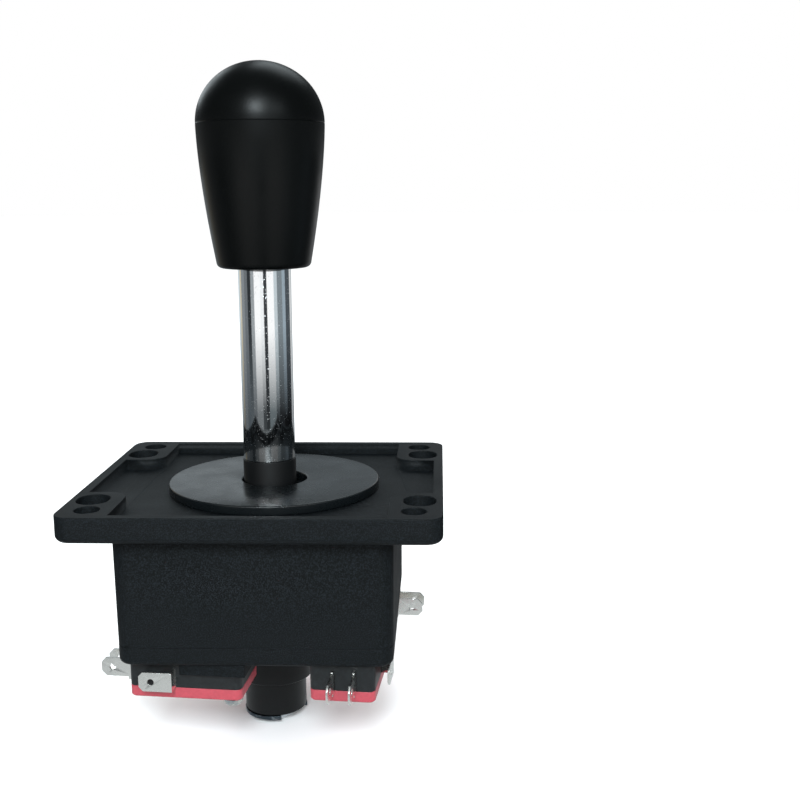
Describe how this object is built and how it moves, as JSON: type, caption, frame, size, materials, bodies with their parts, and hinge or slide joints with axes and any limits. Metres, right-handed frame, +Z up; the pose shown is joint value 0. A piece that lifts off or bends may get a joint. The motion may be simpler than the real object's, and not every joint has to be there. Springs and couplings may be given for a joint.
{
  "type": "arcade joystick",
  "caption": "Panel-mount arcade joystick with a bat-top handle, dust washer, sprung ball pivot, round actuator and lever microswitches under a square case.",
  "frame": {"origin": "centre of the four round panel bolt holes, on top of the flange", "axes": "+Z up along the stick, X along the flange's long side, -Y towards the player"},
  "size_m": [0.0896, 0.0792, 0.169],
  "materials": {
    "black_plastic": "fine moulded texture, matte",
    "black_nylon": "smooth moulded, satin",
    "handle_plastic": "satin with a fine parting line",
    "zinc_steel": "turned and zinc plated",
    "chrome": "polished chrome",
    "spring_steel": "drawn wire",
    "dark_steel": "oil-blackened stamping",
    "nickel": "nickel plated",
    "switch_black": "moulded, satin",
    "switch_red": "moulded, matte",
    "plunger_yellow": "moulded, satin",
    "lever_steel": "stamped stainless strip",
    "terminal_tin": "stamped and tin plated",
    "contact_copper": "rolled strip"
  },
  "bodies": {
    "housing": {"housing": "black_plastic", "base_plate": "black_plastic", "base_screws": "nickel", "switch_screws": "nickel", "left_switch_case": "switch_black", "left_switch_cover": "switch_red", "left_com_terminal": "terminal_tin", "left_no_terminal": "terminal_tin", "left_nc_terminal": "terminal_tin", "left_snap_blade": "contact_copper", "down_switch_case": "switch_black", "down_switch_cover": "switch_red", "down_com_terminal": "terminal_tin", "down_no_terminal": "terminal_tin", "down_nc_terminal": "terminal_tin", "down_snap_blade": "contact_copper", "right_switch_case": "switch_black", "right_switch_cover": "switch_red", "right_com_terminal": "terminal_tin", "right_no_terminal": "terminal_tin", "right_nc_terminal": "terminal_tin", "right_snap_blade": "contact_copper", "up_switch_case": "switch_black", "up_switch_cover": "switch_red", "up_com_terminal": "terminal_tin", "up_no_terminal": "terminal_tin", "up_nc_terminal": "terminal_tin", "up_snap_blade": "contact_copper"},
    "centring_spring": {"centring_spring": "spring_steel"},
    "stick": {"handle": "handle_plastic", "sleeve": "chrome", "shaft": "zinc_steel", "pivot_ball": "black_nylon", "spring_seat": "zinc_steel", "actuator": "black_nylon", "e_clip": "dark_steel"},
    "dust_washer": {"dust_washer": "black_plastic"},
    "left_lever": {"left_lever": "lever_steel"},
    "left_plunger": {"left_plunger": "plunger_yellow"},
    "down_lever": {"down_lever": "lever_steel"},
    "down_plunger": {"down_plunger": "plunger_yellow"},
    "right_lever": {"right_lever": "lever_steel"},
    "right_plunger": {"right_plunger": "plunger_yellow"},
    "up_lever": {"up_lever": "lever_steel"},
    "up_plunger": {"up_plunger": "plunger_yellow"}
  },
  "joints": [
    {"name": "tilt_right", "type": "hinge", "parent": "housing", "child": "centring_spring", "pos_m": [0, 0, -0.009], "axis": [0, 1, 0], "range_deg": [-5, 5], "stiffness_Nm_per_rad": 1.6, "deforming": ["centring_spring"]},
    {"name": "tilt_up", "type": "hinge", "parent": "centring_spring", "child": "stick", "pos_m": [0, 0, -0.009], "axis": [-1, 0, 0], "range_deg": [-5, 5], "stiffness_Nm_per_rad": 1.6},
    {"name": "washer_shift", "type": "slide", "parent": "housing", "child": "dust_washer", "axis": [1, 0, 0], "range_m": [-0.0007, 0.0007]},
    {"name": "left_lever_pivot", "type": "hinge", "parent": "housing", "child": "left_lever", "pos_m": [0.01414, -0.0185, -0.0427], "axis": [0, 0, 1], "range_deg": [-7.3, 7.3]},
    {"name": "left_plunger_travel", "type": "slide", "parent": "housing", "child": "left_plunger", "axis": [0.9962, -0.0872, 0], "range_m": [-0.00145, 0.00145]},
    {"name": "down_lever_pivot", "type": "hinge", "parent": "housing", "child": "down_lever", "pos_m": [0.0185, 0.01414, -0.0427], "axis": [0, 0, 1], "range_deg": [-7.3, 7.3]},
    {"name": "down_plunger_travel", "type": "slide", "parent": "housing", "child": "down_plunger", "axis": [0.0872, 0.9962, 0], "range_m": [-0.00145, 0.00145]},
    {"name": "right_lever_pivot", "type": "hinge", "parent": "housing", "child": "right_lever", "pos_m": [-0.01414, 0.0185, -0.0427], "axis": [0, 0, 1], "range_deg": [-7.3, 7.3]},
    {"name": "right_plunger_travel", "type": "slide", "parent": "housing", "child": "right_plunger", "axis": [-0.9962, 0.0872, 0], "range_m": [-0.00145, 0.00145]},
    {"name": "up_lever_pivot", "type": "hinge", "parent": "housing", "child": "up_lever", "pos_m": [-0.0185, -0.01414, -0.0427], "axis": [0, 0, 1], "range_deg": [-7.3, 7.3]},
    {"name": "up_plunger_travel", "type": "slide", "parent": "housing", "child": "up_plunger", "axis": [-0.0872, -0.9962, 0], "range_m": [-0.00145, 0.00145]}
  ],
  "couplings": [
    {"joint": "washer_shift", "follows": "tilt_right", "m_per_rad": 0.007},
    {"joint": "left_lever_pivot", "follows": "tilt_right", "ratio": 1.45},
    {"joint": "left_plunger_travel", "follows": "tilt_right", "m_per_rad": -0.016385},
    {"joint": "down_lever_pivot", "follows": "tilt_up", "ratio": 1.45},
    {"joint": "down_plunger_travel", "follows": "tilt_up", "m_per_rad": -0.016385},
    {"joint": "right_lever_pivot", "follows": "tilt_right", "ratio": -1.45},
    {"joint": "right_plunger_travel", "follows": "tilt_right", "m_per_rad": 0.016385},
    {"joint": "up_lever_pivot", "follows": "tilt_up", "ratio": -1.45},
    {"joint": "up_plunger_travel", "follows": "tilt_up", "m_per_rad": 0.016385}
  ]
}
